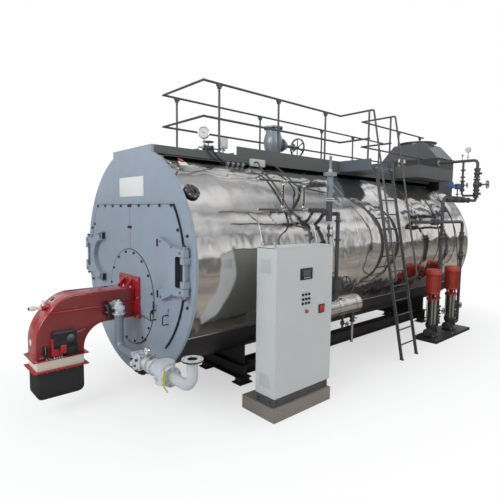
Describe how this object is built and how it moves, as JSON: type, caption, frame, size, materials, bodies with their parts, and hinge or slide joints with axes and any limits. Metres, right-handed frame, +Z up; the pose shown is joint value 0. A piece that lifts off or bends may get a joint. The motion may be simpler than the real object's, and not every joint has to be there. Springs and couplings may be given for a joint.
{
  "type": "industrial boiler",
  "caption": "Horizontal fire-tube steam boiler on a skid, with burner, gas train, control cabinet, walkway, ladder, gauges and feed pumps.",
  "frame": {"origin": "floor level under the middle of the front cross-beam, on the vessel's middle plane", "axes": "+Z up, +Y from the front plate to the flue along the vessel, +X to the cabinet and ladder side"},
  "size_m": [3.6498, 9.762, 4.325],
  "materials": {
    "plate_paint": "satin grey-blue paint",
    "cladding": "bright polished stainless sheet",
    "frame_paint": "matt black paint",
    "burner_red": "gloss red enamel",
    "burner_cream": "satin cream enamel",
    "burner_black": "satin black paint",
    "instrument_grey": "moulded housings",
    "gas_paint": "grey paint",
    "gas_alloy": "cast alloy bodies",
    "cabinet_paint": "light grey powder coat",
    "control_black": "screen and switch",
    "zinc": "galvanised sheet",
    "plinth_paint": "dark grey powder coat",
    "concrete": "cast concrete",
    "deck_paint": "dark grey-green paint on chequer plate",
    "landing_paint": "blue-grey paint",
    "rail_paint": "dark grey paint",
    "hood_paint": "dark grey paint",
    "valve_silver": "silver-grey paint on iron",
    "wheel_paint": "dark enamel",
    "tray_zinc": "bare sheet",
    "valve_brass": "bronze bodies",
    "pipe_steel": "grey paint on pipe",
    "gauge_glass": "clear glass tubes",
    "pump_steel": "stainless sleeves on cast feet",
    "pump_orange": "orange-red enamel"
  },
  "bodies": {
    "root": {"burner_band": "burner_cream", "burner_controls": "instrument_grey", "burner_housing": "burner_red", "burner_inlet": "burner_black", "burner_lid": "burner_red", "cabinet_block": "concrete", "cabinet_body": "cabinet_paint", "cabinet_mounting_plate": "zinc", "cabinet_plinth": "plinth_paint", "drain_line": "pipe_steel", "far_rail": "rail_paint", "feed_pipe": "pipe_steel", "flue_hood": "hood_paint", "front_plate": "plate_paint", "front_rail": "rail_paint", "furnace_hatch": "plate_paint", "gas_filter": "gas_alloy", "gas_inlet": "gas_paint", "gas_pipe": "gas_paint", "gas_throttle": "gas_paint", "gas_valve_block": "gas_alloy", "gauge_glasses": "gauge_glass", "gauge_headers": "pipe_steel", "hinge_brackets": "plate_paint", "instrument_tray": "tray_zinc", "ladder": "rail_paint", "ladder_handrails": "rail_paint", "landing": "landing_paint", "landing_rails": "rail_paint", "level_column": "pipe_steel", "near_rail": "rail_paint", "pressure_instruments": "instrument_grey", "pump_base": "frame_paint", "pump_bodies": "pump_steel", "pump_motors": "pump_orange", "rear_plate": "frame_paint", "rear_platform": "deck_paint", "rear_smokebox": "frame_paint", "saddles": "frame_paint", "safety_valves": "valve_brass", "sample_drum": "cladding", "shell": "cladding", "skid_frame": "frame_paint", "steam_valve": "valve_silver", "walkway": "deck_paint"},
    "cabinet_door": {"cabinet_door": "cabinet_paint", "cabinet_controls": "control_black"},
    "left_door": {"left_door": "plate_paint", "left_hinge_arm": "plate_paint"},
    "right_door": {"right_door": "plate_paint", "right_hinge_arm": "plate_paint"},
    "steam_valve_wheel": {"steam_valve_wheel": "wheel_paint"},
    "drain_valve_wheel": {"drain_valve_wheel": "wheel_paint"},
    "feed_valve_wheel": {"feed_valve_wheel": "wheel_paint"}
  },
  "joints": [
    {"name": "cabinet_door_hinge", "type": "hinge", "parent": "root", "child": "cabinet_door", "pos_m": [2.02, -0.51, 1.192], "axis": [0, 0, -1], "range_deg": [0, 120]},
    {"name": "left_door_hinge", "type": "hinge", "parent": "root", "child": "left_door", "pos_m": [-1.412, -1.37, 1.815], "axis": [0, 0, -1], "range_deg": [0, 110]},
    {"name": "right_door_hinge", "type": "hinge", "parent": "root", "child": "right_door", "pos_m": [1.412, -1.37, 1.815], "axis": [0, 0, 1], "range_deg": [0, 110]},
    {"name": "steam_valve_spindle", "type": "hinge", "parent": "root", "child": "steam_valve_wheel", "pos_m": [0, 2.03, 3.72], "axis": [0, -1, 0], "range_deg": [0, 2880]},
    {"name": "drain_valve_spindle", "type": "hinge", "parent": "root", "child": "drain_valve_wheel", "pos_m": [1.6, 1.452, 1.45], "axis": [0, 1, 0], "range_deg": [0, 1800]},
    {"name": "feed_valve_spindle", "type": "hinge", "parent": "root", "child": "feed_valve_wheel", "pos_m": [1.866, 6.25, 3.19], "axis": [-1, 0, 0], "range_deg": [0, 1800]}
  ]
}
